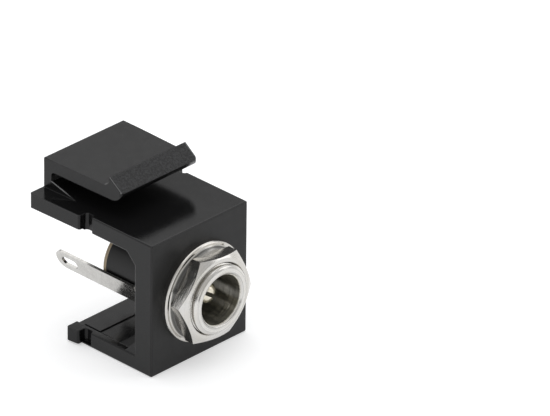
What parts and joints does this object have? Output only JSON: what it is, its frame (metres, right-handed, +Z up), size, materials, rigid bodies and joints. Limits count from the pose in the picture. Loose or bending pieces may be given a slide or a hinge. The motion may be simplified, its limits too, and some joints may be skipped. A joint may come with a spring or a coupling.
{
  "type": "keystone dc power jack module",
  "caption": "Black keystone housing with a springy top latch, carrying a panel-mount barrel power jack with a hexagon nut and solder lugs.",
  "frame": {"origin": "on the jack's axis, in the plane of the housing's front face", "axes": "+Z up towards the latch, -Y out of the jack's mouth, +X to the right as seen from the front"},
  "size_m": [0.0162, 0.0212, 0.0207],
  "materials": {
    "housing_plastic": "fine satin moulding, slightly grained on the thumb tab",
    "washer_plating": "bright nickel plating",
    "nut_plating": "bright nickel plating with turned chamfer marks",
    "barrel_plating": "bright nickel plating",
    "ring_insulation": "dull pressed insulation",
    "insulator_plastic": "satin moulding",
    "wafer_laminate": "brown paper laminate",
    "lug_tin": "bright tinned sheet metal",
    "pin_plating": "pale plated metal"
  },
  "bodies": {
    "root": {"housing": "housing_plastic", "front_washer": "washer_plating", "hex_nut": "nut_plating", "threaded_barrel": "barrel_plating", "insulating_washer": "ring_insulation", "insulator_body": "insulator_plastic", "rear_wafer": "wafer_laminate", "sleeve_terminal": "lug_tin", "centre_terminal": "lug_tin", "switch_terminal": "lug_tin", "centre_pin": "pin_plating"}
  },
  "joints": []
}
